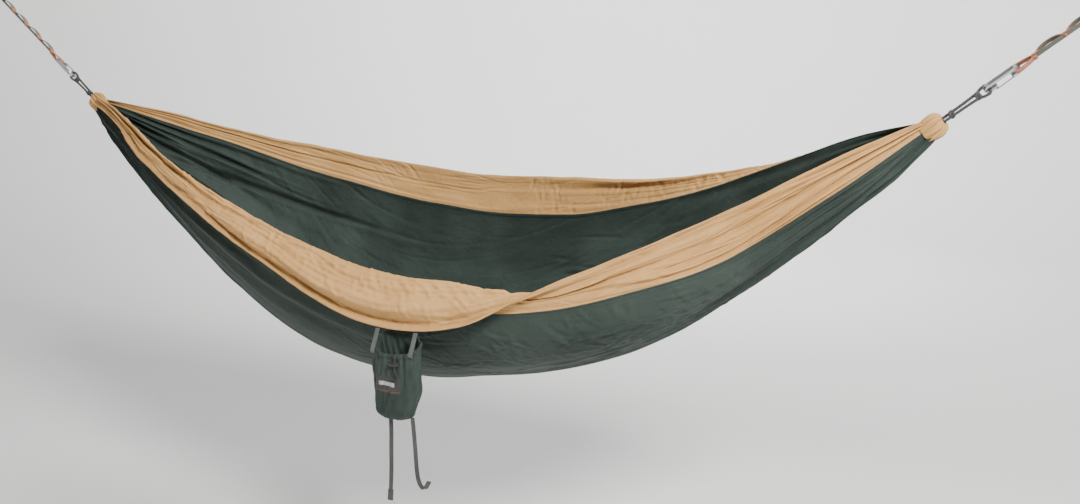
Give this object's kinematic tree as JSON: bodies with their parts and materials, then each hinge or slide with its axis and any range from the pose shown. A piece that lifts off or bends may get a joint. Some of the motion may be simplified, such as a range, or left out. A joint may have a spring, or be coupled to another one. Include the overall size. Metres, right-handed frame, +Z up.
{
  "type": "camping hammock",
  "caption": "Gathered-end nylon camping hammock in green with tan side bands, hung by rope, carabiners and looped webbing straps, with a stuff sack on its rim.",
  "frame": {"origin": "the middle of the left strap's tree-end eye, where the hammock is held", "axes": "+X along the hammock from the left eye to the right one, +Y across it, away from the side with the stuff sack, +Z up"},
  "size_m": [3.246, 0.6915, 1.2511],
  "materials": {
    "nylon_green": "ripstop-weight taffeta, soft sheen",
    "nylon_khaki": "taffeta nylon, soft sheen",
    "rope_black": "braided",
    "carabiner_alloy": "polished",
    "gate_wire": "polished wire",
    "webbing_olive": "woven polyester webbing",
    "webbing_tan": "woven polyester webbing",
    "thread_orange": "bar-tack thread",
    "sack_green": "taffeta nylon",
    "label_black": "woven satin",
    "webbing_grey": "narrow woven tape",
    "cord_black": "braided",
    "lock_plastic": "moulded",
    "spring_steel": "wire",
    "webbing_black": "narrow woven webbing"
  },
  "bodies": {
    "anchors": {"left_strap_eye": "webbing_olive", "right_strap_eye": "webbing_olive", "left_eye_tack": "thread_orange", "right_eye_tack": "thread_orange"},
    "hammock": {"centre_panel": "nylon_green", "near_side_panel": "nylon_khaki", "far_side_panel": "nylon_khaki", "left_gathered_hem": "nylon_khaki", "left_suspension_rope": "rope_black", "left_carabiner_body": "carabiner_alloy", "left_strap_webbing": "webbing_olive", "left_strap_loops": "webbing_tan", "left_strap_tacks": "thread_orange", "right_gathered_hem": "nylon_khaki", "right_suspension_rope": "rope_black", "right_carabiner_body": "carabiner_alloy", "right_strap_webbing": "webbing_olive", "right_strap_loops": "webbing_tan", "right_strap_tacks": "thread_orange"},
    "left_gate": {"left_carabiner_gate": "gate_wire"},
    "right_gate": {"right_carabiner_gate": "gate_wire"},
    "sack": {"sack_shell": "sack_green", "sack_base": "sack_green", "sack_mouth_hem": "sack_green", "sack_label": "label_black", "sack_hang_tabs": "webbing_grey", "sack_drawcord": "cord_black", "left_compression_strap": "webbing_black", "right_compression_strap": "webbing_black"},
    "cord_lock": {"cord_lock_body": "lock_plastic", "cord_lock_spring": "spring_steel"},
    "lock_button": {"cord_lock_button": "lock_plastic"}
  },
  "joints": [
    {"name": "hammock_swing", "type": "hinge", "parent": "anchors", "child": "hammock", "pos_m": [0, 0, 0], "axis": [1, 0, 0], "range_deg": [-30, 30]},
    {"name": "left_gate_open", "type": "hinge", "parent": "hammock", "child": "left_gate", "pos_m": [0.31164, 0.01066, -0.25791], "axis": [0.5835, 0.3746, 0.7206], "range_deg": [0, 25], "stiffness_Nm_per_rad": 0.25, "springref_deg": -14.32},
    {"name": "right_gate_open", "type": "hinge", "parent": "hammock", "child": "right_gate", "pos_m": [2.89659, 0.01066, -0.25791], "axis": [0.5835, -0.3746, -0.7206], "range_deg": [0, 25], "stiffness_Nm_per_rad": 0.25, "springref_deg": -14.32},
    {"name": "sack_swing", "type": "hinge", "parent": "hammock", "child": "sack", "pos_m": [1.69912, -0.35, -0.81425], "axis": [-1, 0, 0], "range_deg": [-8, 70]},
    {"name": "cord_lock_slide", "type": "slide", "parent": "sack", "child": "cord_lock", "axis": [0, 0, -1], "range_m": [0, 0.008]},
    {"name": "cord_lock_press", "type": "slide", "parent": "cord_lock", "child": "lock_button", "axis": [-1, 0, 0], "range_m": [0, 0.004], "stiffness_N_per_m": 400, "springref_m": -0.003, "deforming": ["cord_lock_spring"]}
  ]
}
